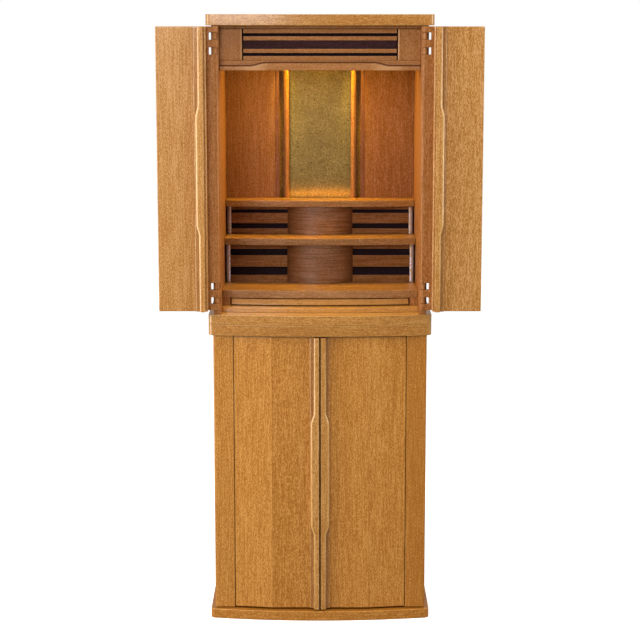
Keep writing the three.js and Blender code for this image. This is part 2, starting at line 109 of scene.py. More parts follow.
PLATE_HIGHLIGHT = 2.5 * MM  # how much of that side gets a painted highlight
RAIL_ROUND = 5 * MM  # radius along the lintel rail's ridge
RAIL_FOOT = 5 * MM  # over which an edge of the rail's front is one of the ridge
RAIL_TOP = 2 * MM  # a face this near to the rail's top gets no painted shade
RAIL_HIGHLIGHT = (0.110, 0.140, 0.158, 0.188)  # where the ridge's painted highlight starts, is full, thins out and ends
RAIL_LEDGE = (0.5, 0.75)  # least rises of a normal on the slope and on the ledge behind the ridge
# painted shade on the slope over the rail's ridge; its ledge gets full painted shade
RAIL_SLOPE_PAINTED_SHADE = 0.6
BOARD_CORNER = 12 * MM  # how far a board's rounded corners reach
DRUM_HALF = 76.5 * MM
DRUM_PAINTED_SHADE = 0.80  # painted shade at the two ends of a drum's front
RISER_STILE_PAINTED_SHADE = (0.55, 0.75)  # share of the width, and strength, of the painted shade at a riser stile's outer side
# share of the width, and strength, of the painted shade at the outer side of a strip beside the gold panel
WALL_STRIP_PAINTED_SHADE = (0.42, 0.62)

# Grain: how wide a mark is for its length, then the noise of each layer in cycles per metre
LONG_MARK = 0.05
SHORT_MARK = 0.30
SWAY_SCALE = 5.0
SWAY = 0.06
BROAD_SCALE = 9.0
RING_SCALE = 7.0
RING_TURNS = 14.0
BAND_SCALE = 320.0
FLECK_SCALE = 740.0
FIBRE_SCALE = 1100.0
PORE_SCALE = 1500.0
PORE_RANGE = (0.60, 0.70)

# What each layer adds to the grain. The streaks and the flecks share MARK_SHARE between them
BROAD_SHARE = 0.10
MARK_SHARE = 0.72
FIBRE_SHARE = 0.18
PORE_DEPTH = 0.45
PORE_RELIEF = 0.8
PORE_ROUGHNESS = 0.12
ROUGHNESS_SWING = 0.05
GRAIN_BUMP = (0.12, 0.4 * MM)  # strength, distance
WEAR_AND_HIGHLIGHT_RANGE = (0.2, 0.5)  # least and most paling of an edge, by use and by a painted highlight
FLECK_EDGE = (0.35, 0.65)
FLECK_RANGE = (0.3, 0.7)

# The dark grain, the light grain and the pale edges, paled by use and by a painted highlight, as shares of
# a finish's own colour
DARK_SHARE = (0.72, 0.60, 0.22)
LIGHT_SHARE = (1.30, 1.52, 2.70)
WORN_AND_HIGHLIT_SHARE = (1.50, 1.95, 3.60)
PAINTED_SHADE_SHARE = (0.20, 0.11, 0.05)  # of the painted shade in hollows, on slopes and at a drum's ends
PLANK_TONE = 0.012  # how much lighter a door's outer plank is than its middle


@dataclass(frozen=True)
class Finish:
    """How one of the woods looks."""

    colour: tuple  # linear, of the middle tone
    lacquer: float = 0.0
    gloss: float = 0.22  # roughness of the lacquer
    shine: float = 0.25
    roughness: float = 0.42  # of the wood under the lacquer
    streaks: float = 0.20  # share of long streaks in the grain
    figure: float = 0.09  # strength of the broad figure
    contrast: float = 0.065  # the smaller, the stronger the grain
    worn_and_highlit: float = 1.0  # how strongly the edges are paled, by use and by a painted highlight


FINISHES = {
    "light_wood": Finish((0.435, 0.190, 0.036), lacquer=0.45, gloss=0.16),
    # handle_wood and board_wood pale their rounded edges more strongly, as a painted highlight
    "handle_wood": Finish((0.455, 0.200, 0.034), lacquer=1.0, gloss=0.12, figure=0.08, worn_and_highlit=1.5),
    "board_wood": Finish((0.400, 0.165, 0.021), lacquer=0.9, gloss=0.20, figure=0.08, worn_and_highlit=1.6),
    "stand_wood": Finish((0.460, 0.182, 0.022), lacquer=0.45, gloss=0.16),
    # a darker, more orange copy of the light wood, that paints in the shade and warm light inside the altar
    "shaded_inner_wood": Finish((0.315, 0.112, 0.020), lacquer=0.15, gloss=0.20, shine=0.18),
    "back_wood": Finish((0.217, 0.080, 0.025), lacquer=0.05, shine=0.12, roughness=0.46),
    # pale, painting the highlight along the riser stiles' inner part
    "highlight_edge_wood": Finish(
        (0.800, 0.600, 0.450),
        lacquer=0.60,
        gloss=0.16,
        shine=0.30,
        roughness=0.38,
        figure=0.10,
    ),
    "shelf_wood": Finish((0.300, 0.130, 0.031), lacquer=0.35, gloss=0.24, shine=0.35),
    "riser_wood": Finish((0.200, 0.076, 0.018), shine=0.12, roughness=0.50, streaks=0.30),
    "dark_wood": Finish((0.034, 0.010, 0.009), shine=0.10, roughness=0.60),
    # a near-black backing that paints in the shadow of the gaps behind the slats
    "shadow_black_wood": Finish((0.012, 0.006, 0.007), shine=0.05, roughness=0.70),
    "brown_wood": Finish((0.150, 0.048, 0.024), lacquer=0.05, shine=0.15, roughness=0.50),
    "walnut": Finish(
        (0.205, 0.082, 0.024),
        lacquer=0.30,
        gloss=0.26,
        shine=0.35,
        roughness=0.34,
        streaks=0.36,
        figure=0.10,
    ),
}
LINTEL_LOOK = {
    "colour": (0.325, 0.122, 0.026),
    "lacquer": 0.15,
    "gloss": 0.20,
    "shine": 0.18,
    "streaks": 0.15,
    "figure": 0.05,
    "contrast": 0.10,
}
# the lintel's rounded edges pale as a painted highlight; the rail and the plates take the stronger one
FINISHES["lintel_wood"] = Finish(**LINTEL_LOOK, worn_and_highlit=1.9)
FINISHES["painted_highlight_wood"] = Finish(**LINTEL_LOOK, worn_and_highlit=3.2)

# Gold leaf, laid in squares. One seam runs up at LEAF_SEAM_X and one across at LEAF_SEAM_Z
LEAF_SQUARE = 0.1235
LEAF_SEAM_X = -0.0266
LEAF_SEAM_Z = 0.968
LEAF_ROWS = 8  # squares from the ground to the seam, which keep the places positive
LEAF_SEAM_WIDTH = 0.0006
LEAF_SEAM_SHADE = 0.45
LEAF_SEAM_RELIEF = 0.6
LEAF_TINT = 0.16  # how far the squares' tones lie apart
GOLD_DARK = (0.140, 0.088, 0.024)
GOLD_MIDDLE = (0.235, 0.153, 0.048)
GOLD_LIGHT = (0.370, 0.252, 0.092)
GOLD_ROUGHNESS = (0.26, 0.42)
GOLD_METAL = 0.75
GOLD_BUMP = (0.15, 0.5 * MM)  # strength, distance
GOLD_RANGE = (0.38, 0.62)
GOLD_LAYERS = {"cloud": (22.0, 0.12), "mottle": (260.0, 0.52), "grain": (620.0, 0.36)}  # scale, share


def shade(colour, shares):
    return tuple(part * share for part, share in zip(colour, shares))


class Shader:
    """A material's nodes, made one after another."""

    def __init__(self, name):
        self.material = bpy.data.materials.new(name)
        self.material.use_nodes = True
        self.tree = self.material.node_tree
        self.surface = self.tree.nodes["Principled BSDF"]

    def node(self, kind, inputs=None, **settings):
        made = self.tree.nodes.new("ShaderNode" + kind)
        for name, value in settings.items():
            setattr(made, name, value)
        for key, value in (inputs or {}).items():
            self.set(made, key, value)
        return made

    def set(self, made, key, value):
        if isinstance(value, bpy.types.NodeSocket):
            self.tree.links.new(value, made.inputs[key])
        else:
            made.inputs[key].default_value = value

    def math(self, operation, a, b=0.0, clamp=False):
        made = self.node("Math", {0: a, 1: b}, operation=operation, use_clamp=clamp)
        return made.outputs[0]

    def noise(self, vector, scale, detail, roughness=0.5):
        inputs = {"Vector": vector, "Scale": scale, "Detail": detail, "Roughness": roughness}
        return self.node("TexNoise", inputs).outputs["Fac"]

    def stretched(self, vector, grain, place, mark):
        """A vector in which noise makes marks along the grain, 1 / mark times as long as wide."""
        scale = [mark if axis in grain else 1.0 for axis in "xyz"]
        inputs = {"Vector": vector, "Location": place, "Scale": scale}
        return self.node("Mapping", inputs).outputs["Vector"]

    def spread(self, value, low, high, out_low=0.0, out_high=1.0):
        inputs = {0: value, 1: low, 2: high, 3: out_low, 4: out_high}
        return self.node("MapRange", inputs, clamp=True).outputs[0]

    def total(self, layers, start=0.0):
        """The sum of some layers, each times its share."""
        grey = start
        for layer, share in layers:
            grey = self.math("ADD", self.math("MULTIPLY", layer, share), grey)
        return grey

    def ramp(self, value, stops):
        made = self.node("ValToRGB", {"Fac": value})
        elements = made.color_ramp.elements
        while len(elements) < len(stops):
            elements.new(0.5)
        for element, (place, colour) in zip(elements, stops):
            element.position = place
            element.color = (*colour, 1.0)
        return made.outputs["Color"]

    def mix(self, factor, a, b):
        made = self.node("Mix", data_type="RGBA")
        self.set(made, 0, factor)
        self.set(made, 6, a)
        self.set(made, 7, b)
        return made.outputs[2]

    def tones(self, level, colour):
        """A wood's colour from its darkest to its lightest grain."""
        dark = shade(colour, DARK_SHARE)
        light = shade(colour, LIGHT_SHARE)
        return self.ramp(level, [(0.0, dark), (0.5, colour), (1.0, light)])

    def mark(self, name):
        """How strongly a point of the mesh carries the mark of this name."""
        return self.node("Attribute", attribute_name=name).outputs["Fac"]

    def bump(self, height, strength, distance):
        inputs = {"Height": height, "Strength": strength, "Distance": distance}
        made = self.node("Bump", inputs)
        self.set(self.surface, "Normal", made.outputs["Normal"])


def wood(name, finish, grain, place, tone=0.0, outside=None):
    """Lacquered wood with its grain along one axis.

    place moves the grain, so that no two pieces match.
    outside names the finish of the faces marked as outside.
    The mark wear_and_highlight stands for edges paled by use and by a painted highlight, the mark joint for
    painted shade, and the mark plank for a door's outer plank.
    """
    look = FINISHES[finish]
    shader = Shader(name)
    plank = shader.mark("plank")
    coordinates = shader.node("TexCoord").outputs["Object"]
    coordinates = shader.node("VectorMath", {0: coordinates, 1: plank}, operation="ADD").outputs[0]
    long_marks = shader.stretched(coordinates, grain, place, LONG_MARK)
    short_marks = shader.stretched(coordinates, grain, place, SHORT_MARK)
    sway = shader.math("MULTIPLY", shader.noise(long_marks, SWAY_SCALE, 2.0), SWAY)
    swayed = shader.node("VectorMath", {0: long_marks, 1: sway}, operation="ADD").outputs[0]
    broad = shader.noise(long_marks, BROAD_SCALE, 2.0)
    turns = shader.math("MULTIPLY", shader.noise(swayed, RING_SCALE, 1.0), RING_TURNS)
    rings = shader.math("PINGPONG", turns, 1.0)
    bands = shader.noise(swayed, BAND_SCALE, 2.0)
    flecks = shader.noise(short_marks, FLECK_SCALE, 2.0, 0.6)
    fibres = shader.noise(swayed, FIBRE_SCALE, 3.0, 0.6)
    pores = shader.spread(shader.noise(short_marks, PORE_SCALE, 2.0), *PORE_RANGE)
    layers = (
        (broad, BROAD_SHARE),
        (bands, look.streaks),
        (flecks, MARK_SHARE - look.streaks),
        (fibres, FIBRE_SHARE),
    )
    grey = shader.total(layers, tone)
    level = shader.spread(grey, 0.5 - look.contrast, 0.5 + look.contrast)
    level = shader.math("SUBTRACT", level, shader.math("MULTIPLY", rings, look.figure))
    level = shader.math("ADD", level, shader.math("MULTIPLY", plank, PLANK_TONE))
    level = shader.math("ADD", level, look.figure * 0.5, clamp=True)
    colour = shader.tones(level, look.colour)
    if outside:
        outer = shader.tones(level, FINISHES[outside].colour)
        colour = shader.mix(shader.mark("outside"), colour, outer)
    dark = (*shade(look.colour, DARK_SHARE), 1.0)
    worn_and_highlit = (*shade(look.colour, WORN_AND_HIGHLIT_SHARE), 1.0)
    shaded = (*shade(look.colour, PAINTED_SHADE_SHARE), 1.0)
    colour = shader.mix(shader.math("MULTIPLY", pores, PORE_DEPTH), colour, dark)
    wear_and_highlight_amount = shader.spread(flecks, *FLECK_EDGE, *(share * look.worn_and_highlit for share in WEAR_AND_HIGHLIGHT_RANGE))
    # wear_and_highlight: the middle of rounded edges, paled partly by use and partly as a painted highlight
    colour = shader.mix(shader.math("MULTIPLY", shader.mark("wear_and_highlight"), wear_and_highlight_amount), colour, worn_and_highlit)
    # joint: painted shade on handle strips, the rail's ledge and slope, the outer parts of stiles and
    # strips, and a drum's ends
    colour = shader.mix(shader.mark("joint"), colour, shaded)
    shader.set(shader.surface, "Base Color", colour)
    rough = (look.roughness + ROUGHNESS_SWING, look.roughness - ROUGHNESS_SWING)
    roughness = shader.spread(flecks, *FLECK_RANGE, *rough)
    roughness = shader.math("ADD", roughness, shader.math("MULTIPLY", pores, PORE_ROUGHNESS))
    shader.set(shader.surface, "Roughness", roughness)
    shader.bump(shader.math("SUBTRACT", fibres, shader.math("MULTIPLY", pores, PORE_RELIEF)), *GRAIN_BUMP)
    shader.surface.inputs["Specular IOR Level"].default_value = look.shine
    shader.surface.inputs["Coat Weight"].default_value = look.lacquer
    shader.surface.inputs["Coat Roughness"].default_value = look.gloss
    return shader.material


def gold(name):
    """Antique gold leaf laid in squares."""
    shader = Shader(name)
    coordinates = shader.node("TexCoord").outputs["Object"]
    axes = shader.node("SeparateXYZ", {"Vector": coordinates})
    flat = shader.node("CombineXYZ", {"X": axes.outputs["X"], "Y": axes.outputs["Z"]})
    corner = (LEAF_SQUARE - LEAF_SEAM_X, LEAF_ROWS * LEAF_SQUARE - LEAF_SEAM_Z, 0.0)
    squares = shader.node("Mapping", {"Vector": flat.outputs[0], "Location": corner})
    brick = shader.node(
        "TexBrick",
        {
            "Vector": squares.outputs["Vector"],
            "Color1": (0.0, 0.0, 0.0, 1.0),
            "Color2": (1.0, 1.0, 1.0, 1.0),
            "Mortar": (0.5, 0.5, 0.5, 1.0),
            "Scale": 1.0,
            "Mortar Size": LEAF_SEAM_WIDTH,
            "Mortar Smooth": 0.6,
            "Brick Width": LEAF_SQUARE,
            "Row Height": LEAF_SQUARE,
        },
        offset=0.0,
    )
    cloud_scale, cloud_share = GOLD_LAYERS["cloud"]
    mottle_scale, mottle_share = GOLD_LAYERS["mottle"]
    grain_scale, grain_share = GOLD_LAYERS["grain"]
    cloud = shader.noise(coordinates, cloud_scale, 3.0)
    mottle = shader.noise(coordinates, mottle_scale, 4.0, 0.65)
    grain = shader.noise(coordinates, grain_scale, 3.0, 0.6)
    grey = shader.total(((cloud, cloud_share), (mottle, mottle_share), (grain, grain_share)))
    level = shader.spread(grey, *GOLD_RANGE)
    tint = shader.math("MULTIPLY", brick.outputs["Color"], LEAF_TINT)
    level = shader.math("ADD", level, tint)
    level = shader.math("SUBTRACT", level, 0.5 * LEAF_TINT, clamp=True)
    colour = shader.ramp(level, [(0.0, GOLD_DARK), (0.5, GOLD_MIDDLE), (1.0, GOLD_LIGHT)])
    seam = shader.math("MULTIPLY", brick.outputs["Fac"], LEAF_SEAM_SHADE)
    colour = shader.mix(seam, colour, (*GOLD_DARK, 1.0))
    shader.set(shader.surface, "Base Color", colour)
    shader.set(shader.surface, "Roughness", shader.spread(mottle, *FLECK_RANGE, *GOLD_ROUGHNESS))
    raised = shader.math("MULTIPLY", brick.outputs["Fac"], LEAF_SEAM_RELIEF)
    shader.bump(shader.math("ADD", mottle, raised), *GOLD_BUMP)
    shader.surface.inputs["Metallic"].default_value = GOLD_METAL
    return shader.material


def whole_faces(node):
    """A CAD node's shape, its flat faces each in one piece."""
    shape = bmesh.new()
    shape.from_mesh(frame["nodes"][node].data)
    bmesh.ops.remove_doubles(shape, verts=shape.verts, dist=WELD)
    bmesh.ops.dissolve_limit(shape, angle_limit=FLAT_ANGLE, verts=shape.verts, edges=shape.edges)
    return shape


def sharp_edges(shape, chosen=lambda edge: True):
    return [
        edge
        for edge in shape.edges
        if len(edge.link_faces) == 2 and edge.calc_face_angle(0.0) > SHARP_ANGLE and chosen(edge)
    ]


def round_edges(shape, edges, radius, segments):
    """Rounds some edges by a radius in metres and marks the middle of each rounding, where its wood pales
    the edge by use and by a painted highlight.
    """
    layer = shape.verts.layers.float.get("wear_and_highlight") or shape.verts.layers.float.new("wear_and_highlight")
    made = bmesh.ops.bevel(
        shape,
        geom=edges,
        offset=radius,
        offset_type="OFFSET",
        segments=segments,
        profile=0.5,
        affect="EDGES",
        clamp_overlap=True,
    )
    rounding = set(made["faces"])
    for vertex in made["verts"]:
        if vertex.is_valid and all(face in rounding for face in vertex.link_faces):
            vertex[layer] = 1.0


def side_of(shape):
    """-1 for a piece on the cabinet's left and 1 for one on its right."""
    return math.copysign(1.0, sum(vertex.co.x for vertex in shape.verts))


def cut_across(shape, place, normal=(1, 0, 0)):
    """Cuts the faces of a shape in two along a plane, so that their parts can be marked or moved."""
    geometry = shape.verts[:] + shape.edges[:] + shape.faces[:]
    bmesh.ops.bisect_plane(shape, geom=geometry, plane_co=place, plane_no=normal)


def mark_faces(shape, name, strength_of):
    """Gives each face a mark of its own strength, which its wood reads by the mark's name."""
    layer = shape.faces.layers.float.new(name)
    for face in shape.faces:
        face[layer] = strength_of(face, face.calc_center_median())


def finish_piece(name, shape, material, body, nodes):
    mesh = bpy.data.meshes.new(name)
    bmesh.ops.recalc_face_normals(shape, faces=shape.faces)
    for face in shape.faces:
        face.smooth = True
    for edge in sharp_edges(shape):
        edge.smooth = False
    shape.to_mesh(mesh)
    shape.free()
    piece = bpy.data.objects.new(name, mesh)
    bpy.context.scene.collection.objects.link(piece)
    mesh.materials.append(material)
    weights = piece.modifiers.new("weights", "WEIGHTED_NORMAL")
    weights.mode = "FACE_AREA"
    weights.keep_sharp = True
    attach(piece, body)
    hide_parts(*nodes)


BODY_OF = {
    node: body
    for body, members in frame["record"]["behaviour"]["bodies"].items()
    for node in members
}


def place_of(node):
    """Where a piece's grain begins: its own for each piece, and the same at each run."""
    turn = sum((i + 1) * ord(letter) for i, letter in enumerate(node)) % 97
    return (0.37 * turn, 0.53 * turn, 0.71 * turn)


def unshaped(shape):
    """Leaves a piece as it is."""


def dress(
    node,
    finish,
    grain,
    radius=1.2,
    segments=2,
    tone=0.0,
    shaping=unshaped,
    carving=unshaped,
    outside=None,
):
    """Replaces one CAD node by the same shape with rounded edges and its own wood.

    radius is in millimetres. shaping works on the sharp shape, and carving on the rounded one.
    """
    shape = whole_faces(node)
    shaping(shape)
    round_edges(shape, sharp_edges(shape), radius * MM, segments)
    carving(shape)
    material = wood(node + "_" + finish, finish, grain, place_of(node), tone, outside)
    finish_piece(node + "_look", shape, material, BODY_OF[node], [node])


def rounding(radius, segments, chosen):
    """A shaping that rounds some of a piece's edges more broadly than the rest, by a radius in metres."""
    return lambda shape: round_edges(shape, sharp_edges(shape, chosen(shape)), radius, segments)


def inner_side(shape):
    """Picks the upright edges at the side nearest to the cabinet's middle."""
    nearest = min(abs(vertex.co.x) for vertex in shape.verts)
    return lambda edge: all(abs(v.co.x) < nearest + WELD for v in edge.verts) and edge_runs(edge, "z")


def front_top(shape):
    """Picks the edges along the front's upper side."""
    front = min(vertex.co.y for vertex in shape.verts)
    foot = min(vertex.co.z for vertex in shape.verts)
    return lambda edge: all(v.co.y < front + WELD and v.co.z > foot + RAIL_FOOT for v in edge.verts)


def edge_runs(edge, axis):
    along = edge.verts[0].co - edge.verts[1].co
    return abs(getattr(along, axis)) > 0.99 * along.length


def cut_groove(shape, near, far, depth, plane_y):
    """Cuts an upright groove into a front face, between two distances from the cabinet's middle."""
    side = side_of(shape)
    heights = [vertex.co.z for vertex in shape.verts]
    low = min(heights) + GROOVE_END
    high = max(heights) - GROOVE_END
    for distance in (near, far):
        cut_across(shape, (side * distance, 0, 0))
    for height in (low, high):
        cut_across(shape, (0, 0, height), (0, 0, 1))
    floor = []
    for face in shape.faces:
        middle = face.calc_center_median()
        inside = near < side * middle.x < far and low < middle.z < high
        if inside and abs(middle.y - plane_y) < WELD and abs(face.normal.y) > 0.99:
            floor.append(face)
    made = bmesh.ops.extrude_face_region(shape, geom=floor)
    moved = [part for part in made["geom"] if isinstance(part, bmesh.types.BMVert)]
    bmesh.ops.translate(shape, vec=(0, depth, 0), verts=moved)
    bmesh.ops.delete(shape, geom=[face for face in floor if face.is_valid], context="FACES_ONLY")


def groove_beside(node, width, depth):
    """A carving that grooves the door along the outer edge of its handle's strip. Sizes in millimetres."""
    near = max(abs(vertex.co.x) for vertex in frame["nodes"][node].data.vertices)

    def carve(shape):
        front = min(vertex.co.y for vertex in shape.verts)
        cut_groove(shape, near, near + width * MM, depth * MM, front)
        mark_planks(shape)

    return carve


def mark_planks(shape):
    """Marks what lies beyond a stand door's joint. Its outer plank has a grain of its own.

    The outer leaf of an altar door lies beyond it with all its faces.
    """
    mark_faces(shape, "plank", lambda face, middle: float(abs(middle.x) > PLANK_JOINT))


def paint_outer_shade(share, strength):
    """A carving that paints shade on a share of a piece's width, at the side away from the cabinet's
    middle.
    """

    def carve(shape):
        widths = [abs(vertex.co.x) for vertex in shape.verts]
        edge = max(widths) - share * (max(widths) - min(widths))
        cut_across(shape, (side_of(shape) * edge, 0, 0))
        mark_faces(shape, "joint", lambda face, middle: strength if abs(middle.x) > edge else 0.0)

    return carve


def highlight_inner_side(shape):
    """Paints a highlight on a lintel plate along its rounded side."""
    layer = shape.verts.layers.float["wear_and_highlight"]
    nearest = min(abs(vertex.co.x) for vertex in shape.verts)
    for vertex in shape.verts:
        vertex[layer] = float(abs(vertex.co.x) < nearest + PLATE_HIGHLIGHT)


def mark_side(shape):
    """Marks the face that a side panel turns away from the cabinet's middle."""
    mark_faces(shape, "outside", lambda face, middle: float(face.normal.x * side_of(shape) > FACING))


def mark_back(shape):
    """Marks the back of an open leaf, which is its outside once the door is closed."""
    mark_faces(shape, "outside", lambda face, middle: float(face.normal.y > FACING))


def highlight_corners(shape):
    """Paints a highlight on a board's rounded front corners, the stronger the nearer to its ends."""
    layer = shape.verts.layers.float["wear_and_highlight"]
    start = max(abs(vertex.co.x) for vertex in shape.verts) - BOARD_CORNER
    back = max(vertex.co.y for vertex in shape.verts) - BOARD_CORNER
    for vertex in shape.verts:
        reach = (abs(vertex.co.x) - start) / BOARD_CORNER
        if reach > 0.0 and vertex.co.y < back:
            vertex[layer] = max(vertex[layer], reach)


def paint_end_shade(shape):
    """Paints shade on a drum's front, more and more towards the two ends of its curve."""
    layer = shape.verts.layers.float.new("joint")
    for vertex in shape.verts:
        vertex[layer] = DRUM_PAINTED_SHADE * min(1.0, abs(vertex.co.x) / DRUM_HALF) ** 3


def mark_rail(shape):
    """Paints shade on the ledge over the rail's ridge and on its slope, and paints a highlight on the ridge
    where it curves.
    """
    for place in RAIL_HIGHLIGHT:
        for side in (-1, 1):
            cut_across(shape, (side * place, 0, 0))
    start, full, full_end, end = RAIL_HIGHLIGHT
    front = min(vertex.co.y for vertex in shape.verts)
    wear_and_highlight = shape.verts.layers.float["wear_and_highlight"]
    for vertex in shape.verts:
        place = abs(vertex.co.x)
        rise = min((place - start) / (full - start), (end - place) / (end - full_end), 1.0)
        vertex[wear_and_highlight] = max(0.0, rise) if vertex.co.y < front + RAIL_ROUND else 0.0
    limit = max(vertex.co.z for vertex in shape.verts) - RAIL_TOP
    slope, ledge = RAIL_LEDGE

    def strength_of(face, middle):
        if face.normal.z <= slope or middle.z >= limit:
            return 0.0
        return 1.0 if face.normal.z > ledge else RAIL_SLOPE_PAINTED_SHADE

    mark_faces(shape, "joint", strength_of)


def crease(shape):
    """Raises the shallow joint between a stand door's two planks to a low bead."""
    front = min(vertex.co.y for vertex in shape.verts)
    joint = [
        edge
        for edge in shape.edges
        if BEND_ANGLE < edge.calc_face_angle(0.0) < SHARP_ANGLE and edge.verts[0].co.y < front + WELD
    ]
    crest = [vertex.co.copy() for vertex in joint[0].verts]
    # round_edges marks the bead's crest, so its wood paints a highlight along it
    round_edges(shape, joint, BEAD_HALF, 2)
    for vertex in shape.verts:
        if any((vertex.co - place).length < BEAD_REACH for place in crest):
            vertex.co.y -= BEAD_HEIGHT


def dress_stand():
    dress("base_board", "stand_wood", "x", tone=-0.03, segments=3)
    dress("stand_top_board", "board_wood", "x", tone=-0.03, segments=3, carving=highlight_corners)
    dress("stand_back", "stand_wood", "z", radius=0.6)
    for side in SIDES:
        # painted shade: the right stile is a little darker, as the light falls from the left
        tone = -0.04 if side == "right" else 0.0
        dress("stand_stile_" + side, "stand_wood", "z", radius=0.8, tone=tone)
        dress("stand_side_" + side, "stand_wood", "z", radius=0.8)
        carving = groove_beside("stand_handle_" + side, width=1.0, depth=0.5)
        dress("stand_door_" + side, "stand_wood", "z", shaping=crease, carving=carving)
        dress_handle("stand_handle_" + side, outer_radius=4.6, inner_radius=3.4)


def dress_handle(node, outer_radius, inner_radius):
    """A handle whose ridge has broad rounded edges over its low strip. Radii in millimetres."""
    shape = whole_faces(node)
    front = min(vertex.co.y for vertex in shape.verts)
    strip = max(vertex.co.y for vertex in shape.verts) - STRIP_HEIGHT
    free = min(abs(vertex.co.x) for vertex in shape.verts)
    far = max(abs(vertex.co.x) for vertex in shape.verts)
    ridge = [vertex for vertex in shape.verts if vertex.co.y < front + WELD]
    widths = [abs(vertex.co.x) for vertex in ridge]
    middle = 0.5 * (min(widths) + max(widths))

    def on_strip(vertex, distance):
        return abs(vertex.co.y - strip) < WELD and abs(abs(vertex.co.x) - distance) < WELD

    def is_outer(edge):
        return all(v in ridge and abs(v.co.x) > middle for v in edge.verts)

    def is_inner(edge):
        on_front = all(v.co.y < front + WELD for v in edge.verts)
        return on_front and any(abs(v.co.x) < middle for v in edge.verts)

    roundings = (
        (is_outer, outer_radius * MM, 5),
        (is_inner, inner_radius * MM, 5),
        (lambda edge: all(on_strip(v, free) for v in edge.verts), STRIP_FREE_RADIUS, 4),
        (lambda edge: all(on_strip(v, far) for v in edge.verts), STRIP_FAR_RADIUS, 3),
        (lambda edge: any(v.co.y > strip - MM for v in edge.verts), STRIP_FOOT_RADIUS, 2),
    )
    for chosen, radius, segments in roundings:
        round_edges(shape, sharp_edges(shape, chosen), radius, segments)
    if node.startswith("altar"):
        near, beyond = STRIP_GROOVE
        cut_groove(shape, free + near, free + beyond, STRIP_GROOVE_DEPTH, strip)

    # painted shade on the strip beside the ridge, carried by the joint mark
    def painted_strip_shade(face, place):
        return STRIP_PAINTED_SHADE if abs(place.y - strip) < WELD and abs(place.x) > middle else 0.0

    mark_faces(shape, "joint", painted_strip_shade)
    material = wood(node + "_handle_wood", "handle_wood", "z", place_of(node))
    finish_piece(node + "_look", shape, material, BODY_OF[node], [node])


def dress_altar():
    dress("altar_bottom_board", "board_wood", "x", tone=0.01, segments=3, carving=highlight_corners)
    dress("altar_top_board", "board_wood", "x", segments=3, carving=highlight_corners)
    dress("altar_back", "stand_wood", "z", radius=0.6)
    for side in SIDES:
        panel = "altar_side_" + side
        # the panel's inside takes the darker finish as painted shade and warm light; its outside takes the
        # stand's wood
        dress(panel, "shaded_inner_wood", "z", radius=0.8, tone=0.035, carving=mark_side, outside="stand_wood")
        leaf = "inner_leaf_" + side
        # the open leaf's front takes the darker finish as painted shade; its back, the outside once closed,
        # the light wood
        dress(leaf, "shaded_inner_wood", "z", radius=1.0, carving=mark_back, outside="light_wood")
        carving = groove_beside("altar_handle_" + side, width=1.2, depth=0.6)
        dress("outer_leaf_" + side, "light_wood", "z", radius=1.6, segments=3, carving=carving)
        dress_handle("altar_handle_" + side, outer_radius=6.0, inner_radius=3.6)


def dress_lintel():
    for name in ("top_strip", "slat_1", "slat_2", "slat_3", "slat_4"):
        dress("lintel_" + name, "lintel_wood", "x", radius=1.0)
    dress("lintel_dark_slat", "dark_wood", "x", radius=1.0)
    dress("lintel_backing", "shadow_black_wood", "x", radius=0.5)
    swing = rounding(RAIL_ROUND, 4, front_top)
    dress("lintel_rail", "painted_highlight_wood", "x", segments=3, tone=0.02, shaping=swing, carving=mark_rail)
    plate_round = rounding(PLATE_ROUND, 4, inner_side)
    for side in SIDES:
        dress("lintel_plate_" + side, "painted_highlight_wood", "z", shaping=plate_round, carving=highlight_inner_side)


def dress_floor():
    dress("altar_floor", "shelf_wood", "x", radius=1.0, tone=-0.02)
    # painted light: the sill and the pull-out board are a little lighter, against the shade under the
    # altar's front
    dress("sill_board", "board_wood", "x", radius=1.0, tone=0.06)
    dress("pull_out_board", "board_wood", "x", radius=2.0, segments=3, tone=0.05)
    for side in SIDES:
        dress("guide_block_" + side, "shaded_inner_wood", "z", radius=0.8)


def dress_shelves():
    for level in ("lower", "upper"):
        dress(level + "_shelf", "shelf_wood", "x", radius=1.2, tone=-0.02)
        dress(level + "_drum", "walnut", "xy", radius=0.8, carving=paint_end_shade)
        dress(level + "_riser_backing", "shadow_black_wood", "x", radius=0.5)
        for part in ("top", "middle", "bottom"):
            dress(f"{level}_riser_slat_{part}", "riser_wood", "x", radius=0.8)
        for side in SIDES:
            stile = f"{level}_riser_stile_{side}"
            dress(stile, "highlight_edge_wood", "z", radius=0.8, carving=paint_outer_shade(*RISER_STILE_PAINTED_SHADE))


def dress_wall():
    for side in SIDES:
        tone = -0.025 if side == "right" else 0.0
        dress("wall_panel_" + side, "back_wood", "z", radius=0.8, tone=tone)
        dress("wall_stile_" + side, "brown_wood", "z", radius=0.8)
        dress("wall_strip_" + side, "shaded_inner_wood", "z", radius=1.2, carving=paint_outer_shade(*WALL_STRIP_PAINTED_SHADE))
    shape = whole_faces("gold_panel")
    round_edges(shape, sharp_edges(shape), 0.5 * MM, 2)
    material = gold("gold_panel_gold")
    finish_piece("gold_panel_look", shape, material, BODY_OF["gold_panel"], ["gold_panel"])


def area_lamp(name, place, target, size, power, colour=WHITE, spread=180.0):
    """A lamp that shines from its place to a target. spread is in degrees."""
    lamp = bpy.data.lights.new(name, "AREA")
    lamp.shape = "RECTANGLE"
    lamp.size, lamp.size_y = size
    lamp.energy = power
    lamp.color = colour
    lamp.spread = math.radians(spread)
    lamp_object = bpy.data.objects.new(name, lamp)
    bpy.context.scene.collection.objects.link(lamp_object)
    lamp_object.location = place
    lamp_object.rotation_euler = (Vector(target) - Vector(place)).to_track_quat("-Z", "Y").to_euler()
    lamp_object.visible_camera = False


